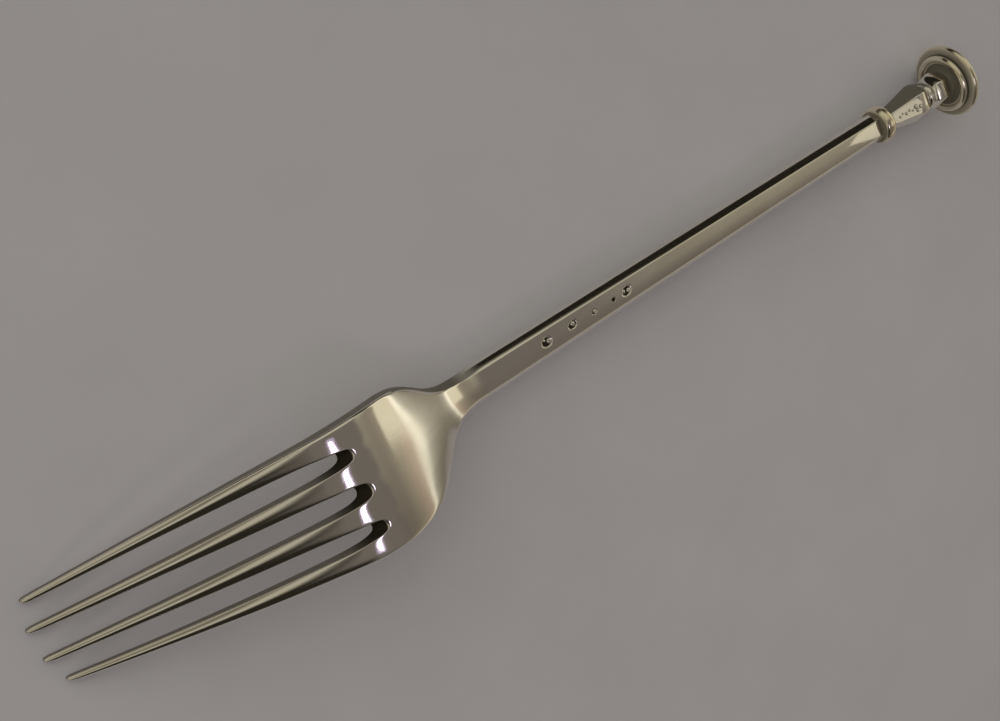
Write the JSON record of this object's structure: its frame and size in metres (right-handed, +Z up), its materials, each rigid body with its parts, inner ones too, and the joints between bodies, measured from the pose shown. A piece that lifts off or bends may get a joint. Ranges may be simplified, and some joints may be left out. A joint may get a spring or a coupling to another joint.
{
  "type": "fork",
  "caption": "Silver seal-top fork lying on its face: long slotted head, bent neck, six-sided stem, and a turned finial that ends in a flat round seal.",
  "frame": {"origin": "middle of the fork's bounding box, on the table plane that the tine tips and the seal's rim touch", "axes": "+X along the stem from the tines to the seal, +Y across the head, +Z up out of the fork's back"},
  "size_m": [0.1716, 0.0192, 0.0182],
  "materials": {
    "silver": "polished, finely scratched",
    "solder": "satin"
  },
  "bodies": {
    "root": {"fork_forging": "silver", "stem_solder": "solder", "stem_collar": "silver", "finial_baluster": "silver", "finial_knop": "silver", "seal_base": "silver", "seal_solder": "solder", "seal_plate": "silver"}
  },
  "joints": []
}
